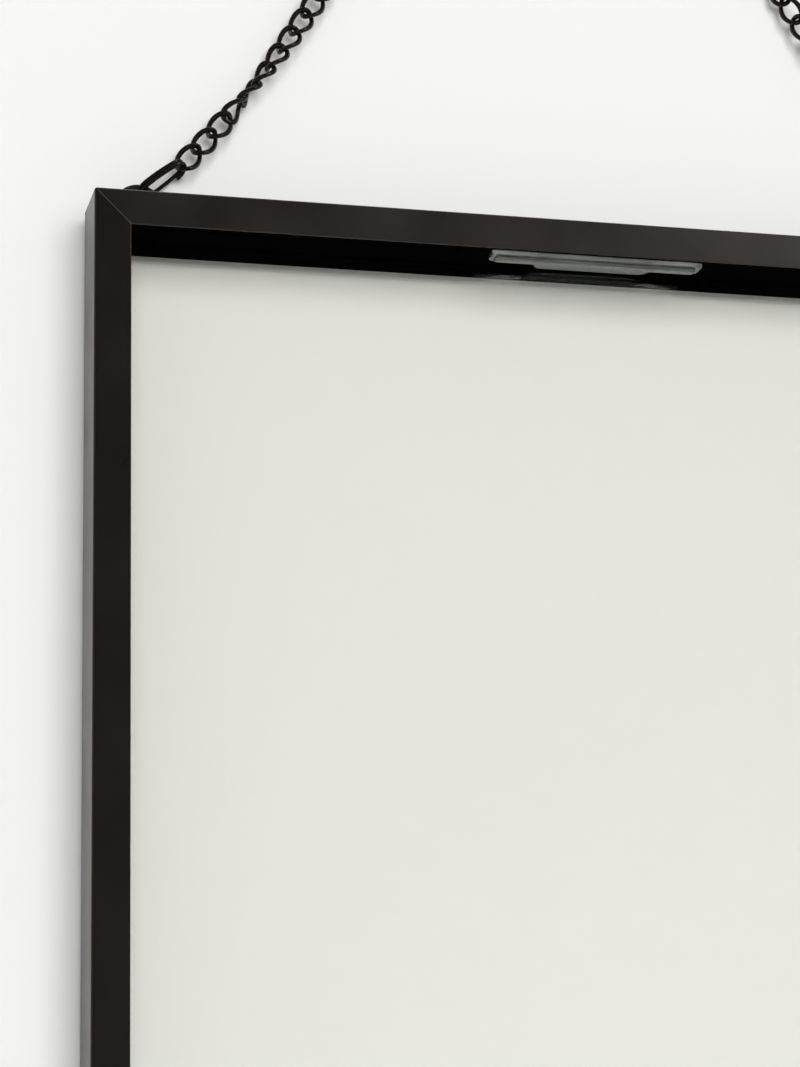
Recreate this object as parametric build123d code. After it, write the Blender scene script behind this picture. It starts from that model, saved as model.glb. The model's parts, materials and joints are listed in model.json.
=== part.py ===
from build123d import *
import math
import os

# Hanging floating frame: four mitred aluminium rails round two clear panes, hung on a chain.
# Millimetres. X runs along the top rail, Y into the wall, Z up.
# The sizes and places below are measured from the middle of the frame's top front edge.
# The finished part is moved so that its origin is where a nail carries the middle link.

# Frame
frame_width = 300.0
frame_height = 400.0
corner_radius = 1.0         # outer corners, seen from the front

# Rail section
face_width = 10.6           # seen from the front
rail_depth = 19.7           # front to back
shell = 1.2                 # front wall, outer wall and rear flanges
inner_wall = 1.8            # thicker, because the clip groove is cut in it
edge_radius = 0.9           # outer front edge
inner_edge_radius = 0.3
rear_lip = 2.5              # stands into the opening, behind the panes
outer_flange = 3.2          # rear flange on the outer side, from the outer face
slot_width = 3.6            # rear slot, between the flanges
channel_depth = 2.5         # from the web to the rear flanges
web = 1.0
mitre_gap = 0.06            # between two rails

# Clip groove in the inner wall
groove_start = 3.0          # from the front face
groove_width = 1.2
groove_depth = 1.0

# Panes
pane_thickness = 2.0
pane_clearance = 0.5        # to each inner wall

# Clips
clip_length = 64.8
clip_plate = 1.4
clip_start = 1.2            # from the front face
clip_wing_depth = 5.8
clip_tongue_length = 35.4
clip_tongue_depth = 9.7
clip_corner = 1.6
tongue_corner = 2.6
rib_length = 6.0
rib_inset = 4.0             # from the clip's end to its rib
fit_clearance = 0.1

# Corner angles, one in the rear channel of each corner
angle_arm = 30.0
angle_thickness = 1.5
angle_clearance = 0.3       # to the channel's side walls
backing_thickness = 0.6
set_screw_place = 25.0      # from the corner
set_screw_radius = 1.5
screw_clearance = 0.05
driver_slot = 0.6

# Hangers
tab_place = 15.8            # from the frame's side to the tab's middle
tab_radius = 7.4
tab_thickness = 1.0
tab_rise = 9.2              # above the top rail
tab_drop = 9.0              # below the rail's top
tab_hole_radius = 2.2
tab_rim = 1.4               # over the hole
tab_screw_radius = 1.5
tab_screw_head_radius = 2.75
tab_screw_head = 1.6

# Rings
ring_length = 17.4
ring_width = 7.9
ring_wire = 1.35
ring_end_radius = 2.2       # to the middle of its wire
ring_slope = 40.0           # degrees above horizontal
ring_roll = 20.0            # degrees, about its length, from square to the tab
ring_play = 0.4             # between the ring and the hole's edge

# Chain
links_per_side = 31
link_pitch = 7.2
link_width = 6.8
link_wire = 1.4
link_play = 0.2             # between two links
first_slope = 47.5          # degrees above horizontal, of the link in the ring
settle_length = 40.0        # of chain over which it takes its free slope
first_roll = 0.0            # degrees, about the chain's line
last_roll = 675.0           # with its own half turn, this leaves the last link square to the middle link
half_turn = 45.0            # each link is turned this far from the chain's own flat

inner_face = -face_width                    # Z of the top rail's inner wall
flange_front = rail_depth - shell
web_rear = flange_front - channel_depth
panes_front = flange_front - 2 * pane_thickness
hanger_plane = rail_depth + tab_thickness / 2
link_length = link_pitch + link_play + 2 * link_wire


def plate(width, height, thickness, x, y, z):
    """A box with its middle at x and z and its front face at y."""
    return Pos(x, y + thickness / 2, z) * Box(width, thickness, height)


def rod(radius, front, rear, x, z):
    """A round bar along Y."""
    return Pos(x, (front + rear) / 2, z) * Rot(90, 0, 0) * Cylinder(radius, rear - front)


def rail_section():
    """The section on the YZ plane, with the outer face up and the front face at Y = 0."""
    body = Pos(rail_depth / 2, -face_width / 2) * Rectangle(rail_depth, face_width)
    body = fillet(body.vertices().sort_by(Axis.X)[:2].sort_by(Axis.Y)[-1], edge_radius)
    body = fillet(body.vertices().sort_by(Axis.Y)[:2].sort_by(Axis.X)[0], inner_edge_radius)
    lip = Pos(rail_depth - shell / 2, -(face_width + rear_lip) / 2) * Rectangle(shell, face_width + rear_lip)
    inside_height = face_width - shell - inner_wall
    inside_middle = -shell - inside_height / 2
    hollow_depth = web_rear - web - shell
    hollow = Pos(shell + hollow_depth / 2, inside_middle) * Rectangle(hollow_depth, inside_height)
    channel = Pos(web_rear + channel_depth / 2, inside_middle) * Rectangle(channel_depth, inside_height)
    slot = Pos(rail_depth - shell / 2, -outer_flange - slot_width / 2) * Rectangle(shell, slot_width)
    groove = Pos(groove_start + groove_width / 2, inner_face + groove_depth / 2)
    groove *= Rectangle(groove_width, groove_depth)
    return body + lip - hollow - channel - slot - groove


def rail(length):
    """A rail along X with its outer face at Z = 0, mitred at both ends."""
    half = length / 2 - mitre_gap * math.sin(math.radians(45))
    reach = face_width + rear_lip + 1
    bar = extrude(Plane.YZ * rail_section(), length / 2, both=True)
    outline = Polyline((-half, 0), (half, 0), (half - reach, -reach), (-half + reach, -reach), close=True)
    return bar & extrude(Plane.XZ * make_face(outline), -rail_depth)


def rails():
    outline = RectangleRounded(frame_width, frame_height, corner_radius)
    block = extrude(Plane.XZ * Pos(0, -frame_height / 2) * outline, -rail_depth)
    side = frame_width / 2
    middle = -frame_height / 2
    return {
        "rail_top": block & rail(frame_width),
        "rail_bottom": block & (Pos(0, 0, -frame_height) * Rot(0, 180, 0) * rail(frame_width)),
        "rail_left": block & (Pos(-side, 0, middle) * Rot(0, -90, 0) * rail(frame_height)),
        "rail_right": block & (Pos(side, 0, middle) * Rot(0, 90, 0) * rail(frame_height)),
    }


def panes():
    width = frame_width - 2 * (face_width + pane_clearance)
    height = frame_height - 2 * (face_width + pane_clearance)
    middle = -frame_height / 2
    return {
        "front_glass": plate(width, height, pane_thickness, 0, panes_front, middle),
        "rear_glass": plate(width, height, pane_thickness, 0, panes_front + pane_thickness, middle),
    }


def clip():
    """A clip on the top rail's inner face: two wings, a tongue towards the panes and two ribs."""
    wings = Pos(0, clip_start + clip_wing_depth / 2) * Rectangle(clip_length, clip_wing_depth)
    tongue = Pos(0, clip_start + clip_tongue_depth / 2) * Rectangle(clip_tongue_length, clip_tongue_depth)
    wings = fillet(wings.vertices().group_by(Axis.Y)[-1], clip_corner)
    tongue = fillet(tongue.vertices().group_by(Axis.Y)[-1], tongue_corner)
    body = Pos(0, 0, inner_face - fit_clearance) * extrude(wings + tongue, -clip_plate)
    rib_width = groove_width - 2 * fit_clearance
    rib_height = groove_depth
    rib_x = clip_length / 2 - rib_inset - rib_length / 2
    rib_z = inner_face - fit_clearance + rib_height / 2
    for side in (-1, 1):
        body += Pos(side * rib_x, groove_start + groove_width / 2, rib_z) * Box(rib_length, rib_width, rib_height)
    return body


def clips():
    """A clip in the middle of the top rail and one in the middle of the bottom rail."""
    centre = Pos(0, 0, -frame_height / 2)
    upright = frame_height / 2
    return {
        "clip_top": clip(),
        "clip_bottom": centre * Rot(0, 180, 0) * Pos(0, 0, upright) * clip(),
    }


def corner_ell(thickness, front):
    """An L in the rear channel of the top left corner."""
    width = face_width - shell - inner_wall - 2 * angle_clearance
    inset = shell + angle_clearance
    left = -frame_width / 2
    across = plate(angle_arm - inset, width, thickness, left + (angle_arm + inset) / 2, front, -inset - width / 2)
    down = plate(width, angle_arm - inset, thickness, left + inset + width / 2, front, -(angle_arm + inset) / 2)
    return across + down


def set_screw_places():
    centre = outer_flange + slot_width / 2
    left = -frame_width / 2
    return ((left + set_screw_place, -centre), (left + centre, -set_screw_place))


def corner_angle(with_hanger):
    angle = corner_ell(angle_thickness, flange_front - angle_thickness)
    for x, z in set_screw_places():
        angle -= rod(set_screw_radius + screw_clearance, web_rear, rail_depth, x, z)
    if with_hanger:
        x, z = tab_screw_place()
        angle -= rod(tab_screw_radius + screw_clearance, web_rear, rail_depth, x, z)
    return angle


def set_screws():
    """The two set screws of the top left corner, which press the backing plate on the web."""
    front = web_rear + backing_thickness
    pair = []
    for x, z in set_screw_places():
        screw = rod(set_screw_radius, front, flange_front, x, z)
        screw -= plate(2 * set_screw_radius, driver_slot, driver_slot, x, flange_front - driver_slot, z)
        pair.append(screw)
    return pair


def on_corners(shape):
    """The same piece at the four corners, by name."""
    middle = Plane.XY.offset(-frame_height / 2)
    right = mirror(shape, about=Plane.YZ)
    return {
        "top_left": shape,
        "top_right": right,
        "bottom_left": mirror(shape, about=middle),
        "bottom_right": mirror(right, about=middle),
    }


def corner_pieces():
    pieces = {}
    plain = on_corners(corner_angle(False))
    drilled = on_corners(corner_angle(True))
    for corner in plain:
        angles = drilled if corner.startswith("top") else plain
        pieces["corner_angle_" + corner] = angles[corner]
    for corner, shape in on_corners(corner_ell(backing_thickness, web_rear)).items():
        pieces["corner_backing_" + corner] = shape
    screws = []
    for screw in set_screws():
        screws += on_corners(screw).values()
    pieces["corner_set_screws"] = Compound(children=screws)
    return pieces


def tab_screw_place():
    return -frame_width / 2 + tab_place, -outer_flange - slot_width / 2


def tab_hole_place():
    return -frame_width / 2 + tab_place, tab_rise - tab_rim - tab_hole_radius


def hanger_tab():
    """The left tab, flat on the rear of the top rail."""
    outline = Pos(0, (tab_rise - tab_drop) / 2)
    outline *= SlotOverall(tab_rise + tab_drop, 2 * tab_radius, rotation=90)
    tab = extrude(Plane.XZ * Pos(-frame_width / 2 + tab_place, 0) * outline, -tab_thickness)
    tab = Pos(0, rail_depth, 0) * tab
    x, z = tab_hole_place()
    tab -= rod(tab_hole_radius, rail_depth, rail_depth + tab_thickness, x, z)
    x, z = tab_screw_place()
    return tab - rod(tab_screw_radius + screw_clearance, rail_depth, rail_depth + tab_thickness, x, z)


def hanger_screw():
    x, z = tab_screw_place()
    head_front = rail_depth + tab_thickness
    head_rear = head_front + tab_screw_head
    screw = rod(tab_screw_radius, flange_front - angle_thickness, head_front, x, z)
    head = rod(tab_screw_head_radius, head_front, head_rear, x, z)
    head = fillet(head.edges().sort_by(Axis.Y)[-1], tab_screw_head / 2)
    slot = plate(2 * tab_screw_head_radius, driver_slot, driver_slot, x, head_rear - driver_slot, z)
    return screw + head - slot


def oval(length, width, wire):
    """A closed oval of round wire on the XY plane, its length along X."""
    bend = (width - wire) / 2
    run = (length - width) / 2
    bar = extrude(Plane.YZ * Pos(bend, 0) * Circle(wire / 2), run, both=True)
    end = revolve(Plane.YZ.offset(run) * Pos(bend, 0) * Circle(wire / 2), Axis((run, 0, 0), (0, 0, 1)), -180)
    half = bar + end
    return half + half.rotate(Axis.Z, 180)


def ring_oval():
    """A closed oval of round wire with curved sides, on the XY plane, its length along X."""
    half_length = (ring_length - ring_wire) / 2
    half_width = (ring_width - ring_wire) / 2
    end_centre = half_length - ring_end_radius
    squares = half_length**2 - 2 * half_length * ring_end_radius + half_width**2
    side_radius = squares / (2 * (half_width - ring_end_radius))
    between = side_radius - ring_end_radius
    x = end_centre + ring_end_radius * end_centre / between
    y = ring_end_radius * (side_radius - half_width) / between
    side = ThreePointArc((-x, y), (0, half_width), (x, y))
    end = ThreePointArc((x, y), (half_length, 0), (x, -y))
    path = Wire([side, end, side.rotate(Axis.Z, 180), end.rotate(Axis.Z, 180)])
    return sweep(Plane(origin=path @ 0, z_dir=path % 0) * Circle(ring_wire / 2), path=path)


def direction(slope):
    return Vector(math.cos(math.radians(slope)), 0, math.sin(math.radians(slope)))


def laid(shape, centre, slope, roll):
    """Lays an oval along a slope in the hanger plane. Roll 0 is flat to the wall, 90 is square to it."""
    along = direction(slope)
    facing = Vector(0, -1, 0).rotate(Axis((0, 0, 0), along), roll)
    return Plane(origin=centre, x_dir=along, z_dir=facing) * shape


def ring_ends():
    """The middle of the ring's wire in the tab's hole, and at its upper end."""
    x, z = tab_hole_place()
    reach = tab_hole_radius - ring_wire / 2 - ring_play
    low = Vector(x, hanger_plane, z) + direction(ring_slope) * reach
    return low, low + direction(ring_slope) * (ring_length - ring_wire)


def split_ring():
    low, high = ring_ends()
    return laid(ring_oval(), (low + high) / 2, ring_slope, 90 - ring_roll)


def hung_links(free_slope):
    """Centre and slope of each link from the ring up, where the chain settles to its free slope."""
    slope = first_slope
    first_reach = (link_length - link_wire) / 2 - (ring_wire + link_wire) / 2 - link_play
    centre = ring_ends()[1] + direction(slope) * first_reach
    links = [(centre, slope)]
    for index in range(1, links_per_side):
        centre = centre + direction(slope) * link_pitch / 2
        slope = free_slope - (free_slope - first_slope) * math.exp(-index * link_pitch / settle_length)
        centre = centre + direction(slope) * link_pitch / 2
        links.append((centre, slope))
    return links


def top_end(links):
    """The middle of the last link's wire at its upper end."""
    centre, slope = links[-1]
    return centre + direction(slope) * ((link_length - link_wire) / 2)


def middle_seat(slope):
    """Where the last link's wire lies in the middle link, from that link's centre."""
    bend = (link_width - link_wire) / 2
    run = (link_length - link_width) / 2
    return Vector(-run, 0, 0) - direction(slope) * (bend - link_wire - link_play)


def chain_run():
    """The links from the ring to the middle, by halving the range of the free slope."""
    flat, steep = 5.0, 89.0
    while steep - flat > 1e-6:
        tried = (flat + steep) / 2
        links = hung_links(tried)
        seat = middle_seat(links[-1][1])
        if top_end(links).X < seat.X:
            steep = tried
        else:
            flat = tried
    return links


def chain_side(links):
    """The left chain, with each second link turned the other way."""
    link = oval(link_length, link_width, link_wire)
    solids = []
    for index, (centre, slope) in enumerate(links):
        twist = first_roll + (last_roll - first_roll) * index / (links_per_side - 1)
        turned = half_turn if index % 2 else -half_turn
        solids.append(laid(link, centre, slope, twist + turned))
    return solids


def middle_centre(links):
    return top_end(links) - middle_seat(links[-1][1])


def all_pieces():
    links = chain_run()
    chain = chain_side(links)
    tab = hanger_tab()
    screw = hanger_screw()
    ring = split_ring()
    middle = laid(oval(link_length, link_width, link_wire), middle_centre(links), 0, 0)
    pieces = rails() | panes() | clips() | corner_pieces()
    pieces["hanger_tab_left"] = tab
    pieces["hanger_tab_right"] = mirror(tab, about=Plane.YZ)
    pieces["hanger_screws"] = Compound(children=[screw, mirror(screw, about=Plane.YZ)])
    pieces["split_ring_left"] = ring
    pieces["split_ring_right"] = mirror(ring, about=Plane.YZ)
    pieces["chain_left"] = Compound(children=chain)
    pieces["chain_right"] = Compound(children=[mirror(link, about=Plane.YZ) for link in chain])
    pieces["middle_link"] = middle
    nail = middle_centre(links) + Vector(0, 0, link_width / 2 - link_wire)
    return {name: Pos(-nail.X, -nail.Y, -nail.Z) * shape for name, shape in pieces.items()}, nail, links


os.makedirs("parts", exist_ok=True)
made, nail_point, left_links = all_pieces()
for name, shape in made.items():
    export_step(shape, "parts/" + name + ".step")
print("nail above the frame's top front edge", round(nail_point.Z, 3), "and behind it", round(nail_point.Y, 3))
print("free slope of the chain", round(left_links[-1][1], 2))
print("ring wire in the tab, from the nail", [round(v, 3) for v in ring_ends()[0] - nail_point])
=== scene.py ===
import bpy
import json
import math
from mathutils import Matrix, Vector


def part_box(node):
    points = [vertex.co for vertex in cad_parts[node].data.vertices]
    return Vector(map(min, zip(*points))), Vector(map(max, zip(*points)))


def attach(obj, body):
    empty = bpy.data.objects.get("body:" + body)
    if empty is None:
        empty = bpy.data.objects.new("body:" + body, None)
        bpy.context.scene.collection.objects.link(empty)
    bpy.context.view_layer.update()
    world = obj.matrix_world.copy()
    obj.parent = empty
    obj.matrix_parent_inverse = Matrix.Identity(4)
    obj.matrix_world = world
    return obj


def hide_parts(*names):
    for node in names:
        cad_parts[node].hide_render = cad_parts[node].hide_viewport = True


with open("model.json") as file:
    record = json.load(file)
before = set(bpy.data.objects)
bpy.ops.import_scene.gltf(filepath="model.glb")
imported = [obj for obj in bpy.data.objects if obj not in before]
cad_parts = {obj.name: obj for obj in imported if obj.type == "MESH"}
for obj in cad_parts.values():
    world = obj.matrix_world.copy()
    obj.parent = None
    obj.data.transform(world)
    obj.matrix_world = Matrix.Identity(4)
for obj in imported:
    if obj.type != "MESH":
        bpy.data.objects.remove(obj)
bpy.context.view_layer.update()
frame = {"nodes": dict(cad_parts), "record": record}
mm = 0.001
weld = 0.002 * mm       # points nearer than this are one
nodes = frame["nodes"]
slotOf = {part["node"]: part["material_slot"] for part in frame["record"]["subparts"]}
bodyOf = {}
for body, members in frame["record"]["behaviour"]["bodies"].items():
    for member in members:
        bodyOf[member] = body
scene = bpy.context.scene
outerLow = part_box("rail_left")[0]       # left side, front face and underside of the whole frame
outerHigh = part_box("rail_right")[1]
print("frame loaded:", len(nodes), "nodes")


# Colours and nodes

def hexColour(text, alpha=1.0):
    channels = [int(text[i:i + 2], 16) / 255 for i in (1, 3, 5)]
    linear = [c / 12.92 if c <= 0.04045 else ((c + 0.055) / 1.055) ** 2.4 for c in channels]
    return (*linear, alpha)


# settings holds sockets and properties by name, links maps a socket to the output that feeds it
def addNode(tree, kind, settings=None, links=None):
    node = tree.nodes.new(kind)
    for name, value in (settings or {}).items():
        if hasattr(node, str(name)):
            setattr(node, name, value)
        else:
            node.inputs[name].default_value = value
    for name, source in (links or {}).items():
        tree.links.new(source, node.inputs[name])
    return node


def newMaterial(name):
    material = bpy.data.materials.new(name)
    material.use_nodes = True
    material.node_tree.nodes.clear()
    return material, material.node_tree


def setSurface(tree, shader):
    addNode(tree, "ShaderNodeOutputMaterial", None, {"Surface": shader})


# Satin black anodised aluminium, extruded and bead blasted: a fine grain that breaks up the sheen,
# warm brown where light grazes it
anodised = {
    "across": ("#0C0A09", "#161311"),     # top and bottom rails
    "upright": ("#0A0908", "#15120F"),    # side rails: painted shade, a darker and duller copy, as their lengthwise grain catches less of the light
    # the side rails' weaker sheen is part of the same painted shade
    "sheen": "#F2E6DC", "acrossSheen": 0.85, "uprightShadedSheen": 0.5,
    "grain": 0.45, "clouds": 22.0,        # mm
    "roughness": 0.3, "grainDepth": 0.03,
}


def anodisedBlack(name, colours, sheen):
    material, tree = newMaterial(name)
    place = addNode(tree, "ShaderNodeTexCoord").outputs["Object"]
    grain = addNode(tree, "ShaderNodeTexNoise", {"Scale": 1 / (anodised["grain"] * mm), "Detail": 3.0},
                    {"Vector": place})
    clouds = addNode(tree, "ShaderNodeTexNoise", {"Scale": 1 / (anodised["clouds"] * mm), "Detail": 2.0},
                     {"Vector": place})
    colour = addNode(tree, "ShaderNodeMix", {"data_type": "RGBA", 6: hexColour(colours[0]),
                                             7: hexColour(colours[1])}, {0: grain.outputs["Fac"]})
    rough = addNode(tree, "ShaderNodeMapRange", {"To Min": anodised["roughness"] - 0.07,
                                                 "To Max": anodised["roughness"] + 0.09},
                    {"Value": clouds.outputs["Fac"]})
    bump = addNode(tree, "ShaderNodeBump", {"Strength": 0.35, "Distance": anodised["grainDepth"] * mm},
                   {"Height": grain.outputs["Fac"]})
    metal = addNode(tree, "ShaderNodeBsdfPrincipled", {"Specular Tint": hexColour(anodised["sheen"]),
                                                       "Specular IOR Level": sheen},
                    {"Base Color": colour.outputs[2], "Roughness": rough.outputs["Result"],
                     "Normal": bump.outputs["Normal"]})
    setSurface(tree, metal.outputs[0])
    return material


# Painted shade: the same aluminium inside the rails and on the panes' edges, drawn deep matt black without
# any sheen, as the shade under the rails makes it
insideShadeBlack = {"base": "#070606", "roughness": 0.6, "grain": 0.5}      # grain in mm


def anodisedInsideShade():
    material, tree = newMaterial("paintedShadeInsideAluminium")
    place = addNode(tree, "ShaderNodeTexCoord").outputs["Object"]
    grain = addNode(tree, "ShaderNodeTexNoise", {"Scale": 1 / (insideShadeBlack["grain"] * mm), "Detail": 2.0},
                    {"Vector": place})
    rough = addNode(tree, "ShaderNodeMapRange", {"To Min": insideShadeBlack["roughness"] - 0.08,
                                                 "To Max": insideShadeBlack["roughness"] + 0.08},
                    {"Value": grain.outputs["Fac"]})
    metal = addNode(tree, "ShaderNodeBsdfPrincipled", {"Base Color": hexColour(insideShadeBlack["base"]),
                                                       "Specular IOR Level": 0.0},
                    {"Roughness": rough.outputs["Result"]})
    setSurface(tree, metal.outputs[0])
    return material


# Bare aluminium where the rails were sawn after anodising: a pale thread along each mitre
sawn = {"base": "#7A766F", "marks": 0.4}        # mm


def bareAluminium():
    material, tree = newMaterial("sawnBareAluminium")
    place = addNode(tree, "ShaderNodeTexCoord").outputs["Object"]
    marks = addNode(tree, "ShaderNodeTexNoise", {"Scale": 1 / (sawn["marks"] * mm), "Detail": 2.0},
                    {"Vector": place})
    rough = addNode(tree, "ShaderNodeMapRange", {"To Min": 0.35, "To Max": 0.55},
                    {"Value": marks.outputs["Fac"]})
    metal = addNode(tree, "ShaderNodeBsdfPrincipled", {"Base Color": hexColour(sawn["base"]),
                                                       "Metallic": 1.0},
                    {"Roughness": rough.outputs["Result"]})
    setSurface(tree, metal.outputs[0])
    return material


# Float glass: clear, slightly warm, mirror smooth
glassLook = {
    "tint": "#FFFFFD", "shadow": "#FEFEFE", "ior": 1.5,
    "filmGap": 0.05, "waves": 60.0, "waveDepth": 0.02,      # mm
}


def floatGlass():
    material, tree = newMaterial("clearFloatGlass")
    place = addNode(tree, "ShaderNodeTexCoord").outputs["Object"]
    waves = addNode(tree, "ShaderNodeTexNoise", {"Scale": 1 / (glassLook["waves"] * mm), "Detail": 0.0},
                    {"Vector": place})
    bump = addNode(tree, "ShaderNodeBump", {"Strength": 0.05, "Distance": glassLook["waveDepth"] * mm},
                   {"Height": waves.outputs["Fac"]})
    # thin and flat, so it is drawn as a clear sheet with a mirror's share of each ray, and bends nothing
    through = addNode(tree, "ShaderNodeBsdfTransparent", {"Color": hexColour(glassLook["tint"])})
    mirror = addNode(tree, "ShaderNodeBsdfGlossy", {"Color": hexColour("#FFFFFF"), "Roughness": 0.02},
                     {"Normal": bump.outputs["Normal"]})
    # the face where a ray enters mirrors for both faces, since the other would turn it all back when steep
    entering = addNode(tree, "ShaderNodeMath", {"operation": "SUBTRACT", 0: 1.0},
                       {1: addNode(tree, "ShaderNodeNewGeometry").outputs["Backfacing"]})
    oneFace = addNode(tree, "ShaderNodeFresnel", {"IOR": glassLook["ior"]})
    bothFaces = addNode(tree, "ShaderNodeMath", {"operation": "MULTIPLY", "use_clamp": True, 1: 2.0},
                        {0: oneFace.outputs[0]})
    share = addNode(tree, "ShaderNodeMath", {"operation": "MULTIPLY"},
                    {0: bothFaces.outputs[0], 1: entering.outputs[0]})
    pane = addNode(tree, "ShaderNodeMixShader", None, {0: share.outputs[0], 1: through.outputs[0],
                                                       2: mirror.outputs[0]})
    clear = addNode(tree, "ShaderNodeBsdfTransparent", {"Color": hexColour(glassLook["shadow"])})
    # light on its way to the wall passes straight through, so that it is counted once
    path = addNode(tree, "ShaderNodeLightPath")
    passing = addNode(tree, "ShaderNodeMath", {"operation": "MAXIMUM"},
                      {0: path.outputs["Is Shadow Ray"], 1: path.outputs["Is Diffuse Ray"]})
    mixed = addNode(tree, "ShaderNodeMixShader", None,
                    {0: passing.outputs[0], 1: pane.outputs[0], 2: clear.outputs[0]})
    setSurface(tree, mixed.outputs[0])
    return material


# Moulded clear polycarbonate: grey and faintly hazy, with bright edges and flow swirls
plastic = {"base": "#7C837C", "roughness": 0.2, "swirl": 5.0}


def clearPolycarbonate():
    material, tree = newMaterial("mouldedClearPolycarbonate")
    place = addNode(tree, "ShaderNodeTexCoord").outputs["Object"]
    swirl = addNode(tree, "ShaderNodeTexNoise", {"Scale": 1 / (plastic["swirl"] * mm), "Detail": 3.0,
                                                 "Distortion": 1.2}, {"Vector": place})
    rough = addNode(tree, "ShaderNodeMapRange", {"To Min": plastic["roughness"] - 0.1,
                                                 "To Max": plastic["roughness"] + 0.12},
                    {"Value": swirl.outputs["Fac"]})
    bump = addNode(tree, "ShaderNodeBump", {"Strength": 0.15, "Distance": 0.03 * mm},
                   {"Height": swirl.outputs["Fac"]})
    body = addNode(tree, "ShaderNodeBsdfPrincipled", {"Base Color": hexColour(plastic["base"]), "IOR": 1.58,
                                                      "Transmission Weight": 0.93, "Specular IOR Level": 0.2},
                   {"Roughness": rough.outputs["Result"], "Normal": bump.outputs["Normal"]})
    setSurface(tree, body.outputs[0])
    return material


# Drawn steel wire, black oxide under a film of oil: nearly black, brown where it has rubbed, sharp glints
oxide = {"base": "#060403", "rubbed": "#1C110A", "roughness": 0.24, "draw": 1.1}     # draw in mm


def blackOxideSteel():
    material, tree = newMaterial("blackOxideSteelWire")
    place = addNode(tree, "ShaderNodeTexCoord").outputs["Object"]
    marks = addNode(tree, "ShaderNodeTexNoise", {"Scale": 1 / (oxide["draw"] * mm), "Detail": 4.0},
                    {"Vector": place})
    colour = addNode(tree, "ShaderNodeMix", {"data_type": "RGBA", 6: hexColour(oxide["base"]),
                                             7: hexColour(oxide["rubbed"])}, {0: marks.outputs["Fac"]})
    rough = addNode(tree, "ShaderNodeMapRange", {"To Min": oxide["roughness"] - 0.08,
                                                 "To Max": oxide["roughness"] + 0.12},
                    {"Value": marks.outputs["Fac"]})
    wire = addNode(tree, "ShaderNodeBsdfPrincipled", {"Specular IOR Level": 0.25},
                   {"Base Color": colour.outputs[2], "Roughness": rough.outputs["Result"]})
    setSurface(tree, wire.outputs[0])
    return material


# Pressed steel under semi-gloss black enamel: smooth, with a slight orange peel
enamel = {"base": "#171615", "peel": 0.9, "peelDepth": 0.02}        # mm


def blackEnamel():
    material, tree = newMaterial("semiGlossBlackEnamel")
    place = addNode(tree, "ShaderNodeTexCoord").outputs["Object"]
    peel = addNode(tree, "ShaderNodeTexNoise", {"Scale": 1 / (enamel["peel"] * mm), "Detail": 1.0},
                   {"Vector": place})
    bump = addNode(tree, "ShaderNodeBump", {"Strength": 0.3, "Distance": enamel["peelDepth"] * mm},
                   {"Height": peel.outputs["Fac"]})
    rough = addNode(tree, "ShaderNodeMapRange", {"To Min": 0.26, "To Max": 0.38},
                    {"Value": peel.outputs["Fac"]})
    paint = addNode(tree, "ShaderNodeBsdfPrincipled", {"Base Color": hexColour(enamel["base"])},
                    {"Roughness": rough.outputs["Result"], "Normal": bump.outputs["Normal"]})
    setSurface(tree, paint.outputs[0])
    return material


# Zinc plated steel: pale grey with soft patches where the plating varies
zinc = {"dull": "#A3A6A8", "bright": "#BFC1C0", "patches": 3.0}     # mm


def zincSteel():
    material, tree = newMaterial("zincPlatedSteel")
    place = addNode(tree, "ShaderNodeTexCoord").outputs["Object"]
    patches = addNode(tree, "ShaderNodeTexNoise", {"Scale": 1 / (zinc["patches"] * mm), "Detail": 3.0},
                      {"Vector": place})
    colour = addNode(tree, "ShaderNodeMix", {"data_type": "RGBA", 6: hexColour(zinc["dull"]),
                                             7: hexColour(zinc["bright"])}, {0: patches.outputs["Fac"]})
    rough = addNode(tree, "ShaderNodeMapRange", {"To Min": 0.28, "To Max": 0.45},
                    {"Value": patches.outputs["Fac"]})
    metal = addNode(tree, "ShaderNodeBsdfPrincipled", {"Metallic": 1.0},
                    {"Base Color": colour.outputs[2], "Roughness": rough.outputs["Result"]})
    setSurface(tree, metal.outputs[0])
    return material


finishes = {
    "rail_finish": anodisedBlack("satinBlackAnodisedAluminium", anodised["across"],
                                 anodised["acrossSheen"]),
    "clear_glass": floatGlass(), "clear_plastic": clearPolycarbonate(),
    "zinc_steel": zincSteel(), "black_steel": blackEnamel(), "black_chain": blackOxideSteel(),
}
# the inside finish is painted shade, deep black where the rails shade the frame
insideShadeFinish = anodisedInsideShade()
# the side rails take a darker, duller copy of the aluminium: painted shade
uprightShadedFinish = anodisedBlack("satinBlackAnodisedUprightShaded", anodised["upright"], anodised["uprightShadedSheen"])
cutFinish = bareAluminium()
print("materials made:", len(finishes) + 3)


# Working on one piece

def pickOnly(piece):
    if bpy.context.mode != "OBJECT":
        bpy.ops.object.mode_set(mode="OBJECT")
    bpy.ops.object.select_all(action="DESELECT")
    piece.select_set(True)
    bpy.context.view_layer.objects.active = piece


def applyModifier(piece, kind, **settings):
    pickOnly(piece)
    modifier = piece.modifiers.new(kind.title(), kind)
    for name, value in settings.items():
        setattr(modifier, name, value)
    bpy.ops.object.modifier_apply(modifier=modifier.name)


def standFor(piece, *names):
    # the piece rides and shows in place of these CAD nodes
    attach(piece, bodyOf[names[0]])
    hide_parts(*names)


def mergedCopy(node, name):
    # a copy of a CAD node with its loose triangles joined into whole faces
    piece = bpy.data.objects.new(name, nodes[node].data.copy())
    scene.collection.objects.link(piece)
    pickOnly(piece)
    bpy.ops.object.mode_set(mode="EDIT")
    bpy.ops.mesh.select_all(action="SELECT")
    bpy.ops.mesh.remove_doubles(threshold=weld)
    bpy.ops.mesh.dissolve_limited(angle_limit=math.radians(0.5))
    bpy.ops.object.mode_set(mode="OBJECT")
    return piece


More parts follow.
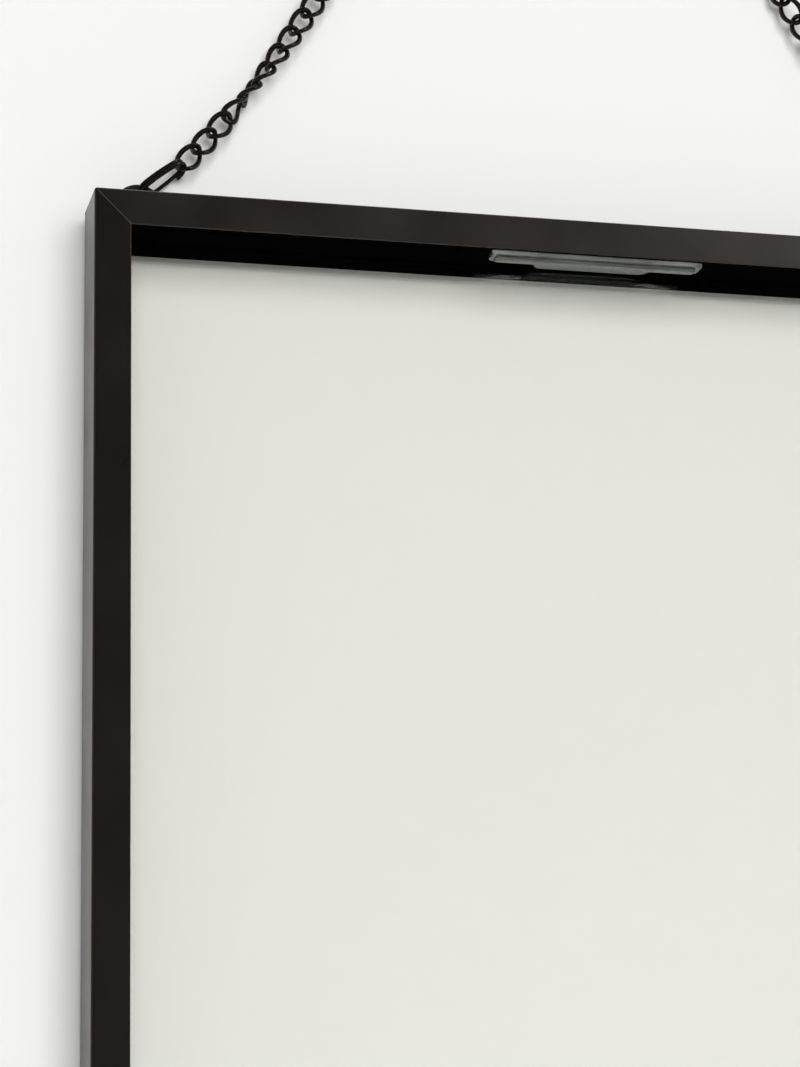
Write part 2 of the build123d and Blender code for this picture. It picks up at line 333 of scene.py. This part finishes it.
def smoothed(piece, degrees=32, flats=False):
    pickOnly(piece)
    bpy.ops.object.shade_smooth_by_angle(angle=math.radians(degrees))
    if flats:       # wide faces stay dead flat and only the broken edges turn the light
        applyModifier(piece, "WEIGHTED_NORMAL", keep_sharp=True)


# Structure: the CAD shapes with the small broken edges that catch the light
brokenEdges = {"rail": 0.14, "pane": 0.3, "steel": 0.12, "screw": 0.1}      # mm


def edgedPiece(node, name, width, segments=2):
    piece = mergedCopy(node, name)
    applyModifier(piece, "BEVEL", width=width * mm, segments=segments, limit_method="ANGLE",
                  angle_limit=math.radians(40), use_clamp_overlap=True)
    piece.data.materials.clear()
    piece.data.materials.append(finishes[slotOf[node]])
    smoothed(piece, 50, True)
    standFor(piece, node)
    return piece


railSet = {"faceWidth": 10.6, "innerWall": 2.2, "frontSkin": 0.3}      # mm, each a little over its own wall


def finishFaces(piece, axis):
    # behind the front face the inner wall and lip take the painted shade black, and the sawn mitres are bare
    # metal
    middle = (outerLow + outerHigh) / 2
    half = (outerHigh - outerLow) / 2
    reach = half[axis] + (railSet["innerWall"] - railSet["faceWidth"]) * mm
    behind = outerLow.y + railSet["frontSkin"] * mm
    slanting = 0.2                      # least part of a mitre's normal along both rails
    piece.data.materials.append(insideShadeFinish)
    piece.data.materials.append(cutFinish)
    for face in piece.data.polygons:
        if min(abs(face.normal.x), abs(face.normal.z)) > slanting:
            face.material_index = 2
        elif face.center.y > behind and abs(face.center[axis] - middle[axis]) < reach:
            face.material_index = 1


def makeRails():
    for side in ("top", "bottom", "left", "right"):
        piece = edgedPiece("rail_" + side, side + "Rail", brokenEdges["rail"])
        upright = side in ("left", "right")
        if upright:
            # painted shade: the side rails take the darker copy
            piece.data.materials[0] = uprightShadedFinish
        finishFaces(piece, 0 if upright else 2)
    print("rails made")


def makePanes():
    # the panes part by a hair, as two real sheets do, so light sees two surfaces and not one
    for node, name, parting in (("front_glass", "frontPane", -1), ("rear_glass", "rearPane", 1)):
        piece = edgedPiece(node, name, brokenEdges["pane"])
        low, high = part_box(node)
        centre = (low.y + high.y) / 2
        for vertex in piece.data.vertices:
            if (vertex.co.y - centre) * parting < 0:
                vertex.co.y += parting * glassLook["filmGap"] / 2 * mm
        # the edges take the painted shade black, for the rail's shade on them, so they mirror nothing under
        # the rails
        piece.data.materials.append(insideShadeFinish)
        for face in piece.data.polygons:
            if abs(face.normal.y) < 0.5:
                face.material_index = 1
    print("panes made")


def makeHardware():
    for row in ("top", "bottom"):
        for side in ("left", "right"):
            corner = row + "_" + side
            title = row + side.title()
            edgedPiece("corner_angle_" + corner, title + "CornerAngle", brokenEdges["steel"])
            edgedPiece("corner_backing_" + corner, title + "CornerBacking", brokenEdges["steel"])
    edgedPiece("corner_set_screws", "cornerSetScrews", brokenEdges["screw"])
    edgedPiece("hanger_screws", "hangerScrews", brokenEdges["screw"])
    edgedPiece("hanger_tab_left", "leftHangerTab", brokenEdges["steel"], 3)
    edgedPiece("hanger_tab_right", "rightHangerTab", brokenEdges["steel"], 3)
    print("hardware made")


# Clips: the moulded plate, with a rounded bar along the front of its tongue as a finger grip
clipSet = {
    "barDepth": 3.6, "barFront": 1.3, "barInset": 0.3,     # mm, from the plate's front, and in from its ends
    "barRise": 0.9, "barRoot": 0.5, "barRound": 0.8, "edge": 0.18,
    "tongueZone": 4.0,                                     # from the plate's rear, where only the tongue is
}
clipTurns = {"top": 0, "bottom": 180}                      # degrees about the frame's middle


def clipBar(low, high, tongue):
    # tongue is the x of its two ends
    rise, root = clipSet["barRise"] * mm, clipSet["barRoot"] * mm
    front = low.y + clipSet["barFront"] * mm
    inset, depth = clipSet["barInset"] * mm, clipSet["barDepth"] * mm
    bpy.ops.object.select_all(action="DESELECT")
    bpy.ops.mesh.primitive_cube_add(size=1)
    bar = bpy.context.object
    bpy.ops.object.mode_set(mode="EDIT")
    bpy.ops.mesh.select_all(action="SELECT")
    bpy.ops.transform.resize(value=(tongue[1] - tongue[0] - 2 * inset, depth, rise + root))
    bpy.ops.transform.translate(value=(sum(tongue) / 2, front + depth / 2, low.z + (root - rise) / 2))
    bpy.ops.object.mode_set(mode="OBJECT")
    applyModifier(bar, "BEVEL", width=clipSet["barRound"] * mm, segments=5, limit_method="ANGLE")
    return bar


def makeClips():
    low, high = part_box("clip_top")
    centre = (low + high) / 2
    pattern = mergedCopy("clip_top", "clipPattern")
    zone = high.y - clipSet["tongueZone"] * mm
    rear = [vertex.co.x for vertex in pattern.data.vertices if vertex.co.y > zone]
    bar = clipBar(low, high, (min(rear), max(rear)))
    applyModifier(pattern, "BOOLEAN", operation="UNION", object=bar, solver="EXACT")
    bpy.data.objects.remove(bar)
    applyModifier(pattern, "BEVEL", width=clipSet["edge"] * mm, segments=3, limit_method="ANGLE",
                  angle_limit=math.radians(40), use_clamp_overlap=True)
    pattern.data.materials.clear()
    pattern.data.materials.append(finishes["clear_plastic"])
    smoothed(pattern, 50, True)
    for side, degrees in clipTurns.items():
        low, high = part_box("clip_" + side)
        place = Matrix.Translation((low + high) / 2) @ Matrix.Rotation(math.radians(degrees), 4, "Y")
        piece = bpy.data.objects.new(side + "Clip", pattern.data.copy())
        piece.data.transform(place @ Matrix.Translation(-centre))
        scene.collection.objects.link(piece)
        standFor(piece, "clip_" + side)
    bpy.data.objects.remove(pattern)
    print("clips made")


# Chain: curb links, each an oval of wire twisted along its length
chainSet = {
    "wire": 1.6, "width": 7.4, "length": 10.6,     # mm
    "squareness": 1.1,
    "linkTwist": 114.0,                            # degrees from one end of a link to the other
    "lowRolls": (5, 5, 0, 58, 95, 118, 138, 152, 165, 178),    # degrees about the chain's line,
    "topRoll": 588.0,                                            # link by link, then evenly to the top
    "roundness": 3,                                # of the wire
}


def plainLink(name, twist):
    wire = chainSet["wire"]
    bpy.ops.object.select_all(action="DESELECT")
    bpy.ops.curve.primitive_bezier_circle_add(radius=1)
    link = bpy.context.object
    link.name = name
    bpy.ops.object.mode_set(mode="EDIT")
    bpy.ops.curve.select_all(action="SELECT")
    bpy.ops.transform.resize(value=((chainSet["length"] - wire) / 2 * mm,
                                    (chainSet["width"] - wire) / 2 * mm, 1))
    bpy.ops.object.mode_set(mode="OBJECT")
    for point in link.data.splines[0].bezier_points:      # longer handles square the oval a little
        point.handle_left_type = point.handle_right_type = "FREE"
        point.handle_left = point.co + (point.handle_left - point.co) * chainSet["squareness"]
        point.handle_right = point.co + (point.handle_right - point.co) * chainSet["squareness"]
    link.data.resolution_u = 10
    link.data.bevel_depth = wire / 2 * mm
    link.data.bevel_resolution = chainSet["roundness"]
    pickOnly(link)
    bpy.ops.object.convert(target="MESH")
    link = bpy.context.object
    pickOnly(link)
    bpy.ops.object.mode_set(mode="EDIT")
    bpy.ops.mesh.select_all(action="SELECT")
    bpy.ops.mesh.remove_doubles(threshold=weld)
    bpy.ops.mesh.normals_make_consistent(inside=False)
    bpy.ops.object.mode_set(mode="OBJECT")
    if twist:
        applyModifier(link, "SIMPLE_DEFORM", deform_method="TWIST", angle=math.radians(twist),
                      deform_axis="X")
    return link


def linkCentres(node):
    # middle of each link of a CAD chain, from the ring up
    piece = mergedCopy(node, "chainGuide")
    pickOnly(piece)
    bpy.ops.object.mode_set(mode="EDIT")
    bpy.ops.mesh.select_all(action="SELECT")
    bpy.ops.mesh.separate(type="LOOSE")
    bpy.ops.object.mode_set(mode="OBJECT")
    centres = []
    for part in list(bpy.context.selected_objects):
        corners = [vertex.co for vertex in part.data.vertices]
        low = Vector([min(c[i] for c in corners) for i in range(3)])
        high = Vector([max(c[i] for c in corners) for i in range(3)])
        centres.append((low + high) / 2)
        bpy.data.objects.remove(part)
    return sorted(centres, key=lambda c: c.z)


def makeChain(side, mirrored):
    centres = linkCentres("chain_" + side)
    hand = -1 if mirrored else 1
    pattern = plainLink("linkPattern", chainSet["linkTwist"] * hand)
    copies = []
    for index, centre in enumerate(centres):
        before = centres[max(index - 1, 0)]
        after = centres[min(index + 1, len(centres) - 1)]
        along = (after - before).normalized()
        facing = Vector((0, -1, 0))
        across = facing.cross(along)
        low = chainSet["lowRolls"]
        above = (index - len(low) + 1) / (len(centres) - len(low))
        roll = low[index] if index < len(low) else low[-1] + (chainSet["topRoll"] - low[-1]) * above
        roll = math.radians(roll) * hand
        turned = facing * math.cos(roll) + along.cross(facing) * math.sin(roll)
        place = Matrix((along, turned.cross(along), turned)).transposed().to_4x4()
        place.translation = centre
        copy = bpy.data.objects.new("link", pattern.data.copy())
        copy.data.transform(place)
        scene.collection.objects.link(copy)
        copies.append(copy)
    bpy.data.objects.remove(pattern)
    bpy.ops.object.select_all(action="DESELECT")
    for copy in copies:
        copy.select_set(True)
    bpy.context.view_layer.objects.active = copies[0]
    bpy.ops.object.join()
    chain = bpy.context.object
    chain.name = side + "Chain"
    chain.data.materials.clear()
    chain.data.materials.append(finishes["black_chain"])
    smoothed(chain, 60)
    standFor(chain, "chain_" + side)
    print(side, "chain made:", len(copies), "links")


def makeMiddleLink():
    link = plainLink("middleLink", 0)
    low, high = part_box("middle_link")
    link.data.transform(Matrix.Translation((low + high) / 2) @ Matrix.Rotation(math.pi / 2, 4, "X"))
    link.data.materials.append(finishes["black_chain"])
    smoothed(link, 60)
    standFor(link, "middle_link")


# Split rings: one and a half turns of wire, the turns side by side, squeezed to a long oval
ringSet = {
    "length": 17.4, "width": 7.9, "endRadius": 3.0,   # mm, the end radius to the middle of the wire
    "wire": 1.22, "gap": 0.04,                         # mm, the gap between the turns
    "slope": 40.0, "roll": 70.0,                       # degrees, as it hangs
    "firstEnd": -0.13, "turns": 1.6,                   # in turns from its upper end
    "points": 56,
}


def ovalPoint(turn):
    # the middle of the wire, from the upper end round a shape of four arcs
    halfLength = (ringSet["length"] - ringSet["wire"]) / 2
    halfWidth = (ringSet["width"] - ringSet["wire"]) / 2
    small = ringSet["endRadius"]
    large = (halfLength ** 2 - 2 * halfLength * small + halfWidth ** 2) / (2 * (halfWidth - small))
    along = halfLength - small
    meet = math.atan2(large - halfWidth, along)       # from the long axis to where the arcs meet
    smallArc, largeArc = small * meet, large * (math.pi / 2 - meet)
    quarter = smallArc + largeArc
    run = (turn % 1.0) * 4 * quarter
    side, run = divmod(run, 2 * quarter)              # half of the oval, then its quarters
    back = run > quarter
    run = 2 * quarter - run if back else run
    if run <= smallArc:
        angle = run / small
        x, y = along + small * math.cos(angle), small * math.sin(angle)
    else:
        angle = meet + (run - smallArc) / large
        x, y = large * math.cos(angle), halfWidth - large + large * math.sin(angle)
    x = -x if back else x
    return (-x, -y) if side else (x, y)


def makeRing(side):
    hand = -1 if side == "right" else 1
    low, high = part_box("split_ring_" + side)
    slope, roll = math.radians(ringSet["slope"]), math.radians(ringSet["roll"])
    along = Vector((math.cos(slope), 0, math.sin(slope)))
    facing = Vector((0, -1, 0))
    normal = facing * math.cos(roll) + along.cross(facing) * math.sin(roll)
    across = normal.cross(along)
    curve = bpy.data.curves.new(side + "RingWire", "CURVE")
    curve.dimensions = "3D"
    spline = curve.splines.new("NURBS")
    count = ringSet["points"]
    spline.points.add(count - 1)
    step = ringSet["wire"] + ringSet["gap"]
    for index in range(count):
        done = index / (count - 1)
        x, y = ovalPoint(ringSet["firstEnd"] + ringSet["turns"] * done)
        lift = (0.5 - done) * ringSet["turns"] * step
        point = (along * x + across * y + normal * lift) * mm
        point.x *= hand
        spline.points[index].co = (*(point + (low + high) / 2), 1)
    spline.order_u = 3
    spline.use_endpoint_u = True
    spline.resolution_u = 3
    curve.bevel_depth = ringSet["wire"] / 2 * mm
    curve.bevel_resolution = 4
    curve.use_fill_caps = True
    ring = bpy.data.objects.new(side + "SplitRing", curve)
    scene.collection.objects.link(ring)
    pickOnly(ring)
    bpy.ops.object.convert(target="MESH")
    ring = bpy.context.object
    pickOnly(ring)
    bpy.ops.object.mode_set(mode="EDIT")
    bpy.ops.mesh.select_all(action="SELECT")
    bpy.ops.mesh.remove_doubles(threshold=weld)
    bpy.ops.mesh.normals_make_consistent(inside=False)
    bpy.ops.object.mode_set(mode="OBJECT")
    applyModifier(ring, "BEVEL", width=0.12 * mm, segments=2, limit_method="ANGLE",
                  angle_limit=math.radians(60))
    ring.data.materials.clear()
    ring.data.materials.append(finishes["black_chain"])
    smoothed(ring, 50)
    standFor(ring, "split_ring_" + side)
    print(side, "split ring made")


makeRails()
makePanes()
makeHardware()
makeClips()
makeChain("left", False)
makeChain("right", True)
makeMiddleLink()
makeRing("left")
makeRing("right")


# Stage: a plain pale wall close behind the frame, and a floor far below
stageSet = {
    "gap": 5.5, "drop": 750.0,                # mm, behind the nail and below the frame
    "size": 6.0,                              # m
    "wall": "#F8F8F7",
    "roomLight": 0.29, "dimness": 0.88,       # the darker patch of the room behind the viewer
    "dimAim": (0.04, -0.86, 0.5), "dimSpread": (36.0, 12.0),
}


def makeBoard(name, location, rotation):
    bpy.ops.object.select_all(action="DESELECT")
    bpy.ops.mesh.primitive_plane_add(size=stageSet["size"], rotation=rotation, location=location)
    board = bpy.context.object
    board.name = name
    material, tree = newMaterial("mattPaintOn" + name.title())
    paint = addNode(tree, "ShaderNodeBsdfDiffuse", {"Color": hexColour(stageSet["wall"])})
    gone = addNode(tree, "ShaderNodeBsdfTransparent")
    back = addNode(tree, "ShaderNodeNewGeometry").outputs["Backfacing"]
    path = addNode(tree, "ShaderNodeLightPath").outputs["Is Shadow Ray"]
    unseen = addNode(tree, "ShaderNodeMath", {"operation": "MAXIMUM"}, {0: back, 1: path})
    mixed = addNode(tree, "ShaderNodeMixShader", None, {0: unseen.outputs[0], 1: paint.outputs[0],
                                                        2: gone.outputs[0]})
    setSurface(tree, mixed.outputs[0])
    board.data.materials.append(material)


def makeStage():
    makeBoard("wall", (0, stageSet["gap"] * mm, outerLow.z), (math.pi / 2, 0, 0))
    makeBoard("floor", (0, 0, outerLow.z - stageSet["drop"] * mm), (0, 0, 0))


def makeWorld():
    world = bpy.data.worlds.new("studio")
    scene.world = world
    world.use_nodes = True
    tree = world.node_tree
    tree.nodes.clear()
    aim = addNode(tree, "ShaderNodeTexCoord").outputs["Generated"]
    near = addNode(tree, "ShaderNodeVectorMath", {"operation": "DOT_PRODUCT",
                                                  1: Vector(stageSet["dimAim"]).normalized()}, {0: aim})
    wide, tight = (math.cos(math.radians(a)) for a in stageSet["dimSpread"])
    level = addNode(tree, "ShaderNodeMapRange", {"interpolation_type": "SMOOTHSTEP",
                                                 "From Min": wide, "From Max": tight,
                                                 "To Min": stageSet["roomLight"],
                                                 "To Max": stageSet["roomLight"] * (1 - stageSet["dimness"])},
                    {"Value": near.outputs["Value"]})
    soft = addNode(tree, "ShaderNodeBackground", {"Color": hexColour("#FFFFFF")},
                   {"Strength": level.outputs["Result"]})
    shown = addNode(tree, "ShaderNodeBackground", {"Color": hexColour("#F7F7F7"), "Strength": 1.0})
    path = addNode(tree, "ShaderNodeLightPath")
    mixed = addNode(tree, "ShaderNodeMixShader", None,
                    {0: path.outputs["Is Camera Ray"], 1: soft.outputs[0], 2: shown.outputs[0]})
    addNode(tree, "ShaderNodeOutputWorld", None, {"Surface": mixed.outputs[0]})


# One broad lamp behind the viewer, kept out of reflections, and a small one for the glints on the wire
lampSet = {
    "softLamp": {"strength": 2.2, "spread": 44, "elevation": 8, "azimuth": 3, "glints": False},
    "glintLamp": {"strength": 0.9, "spread": 6, "elevation": 28, "azimuth": 42, "glints": True},
}


def addSun(name, lamp):
    # azimuth 0 shines straight at the wall, positive from the right
    bpy.ops.object.light_add(type="SUN", rotation=(math.radians(90 - lamp["elevation"]), 0,
                                                   math.radians(lamp["azimuth"])))
    sun = bpy.context.object
    sun.name = name
    sun.data.energy = lamp["strength"]
    sun.data.angle = math.radians(lamp["spread"])
    sun.visible_glossy = lamp["glints"]
    sun.visible_diffuse = not lamp["glints"]


# Camera: low and to the left of the corner, looking up and to the right
cameraSet = {
    "place": (-115.43, -796.09, -313.18),      # mm from the top left front corner
    "yaw": 14.29, "pitch": 14.67, "roll": -1.26, "lens": 101.2,
}


def makeCamera():
    corner = Vector((outerLow.x, outerLow.y, outerHigh.z))
    turn = Matrix.Rotation(math.radians(-cameraSet["yaw"]), 4, "Z")
    turn = turn @ Matrix.Rotation(math.radians(90 + cameraSet["pitch"]), 4, "X")
    turn = turn @ Matrix.Rotation(math.radians(cameraSet["roll"]), 4, "Z")
    bpy.ops.object.camera_add()
    camera = bpy.context.object
    camera.matrix_world = Matrix.Translation(corner + Vector(cameraSet["place"]) * mm) @ turn
    camera.data.sensor_fit = "VERTICAL"
    camera.data.sensor_height = 36.0
    camera.data.lens = cameraSet["lens"]
    camera.data.clip_start = 0.01
    scene.camera = camera


makeStage()
makeWorld()
for name, lamp in lampSet.items():
    addSun(name, lamp)
makeCamera()
scene.view_settings.view_transform = "Standard"
print("stage, lights and camera made")
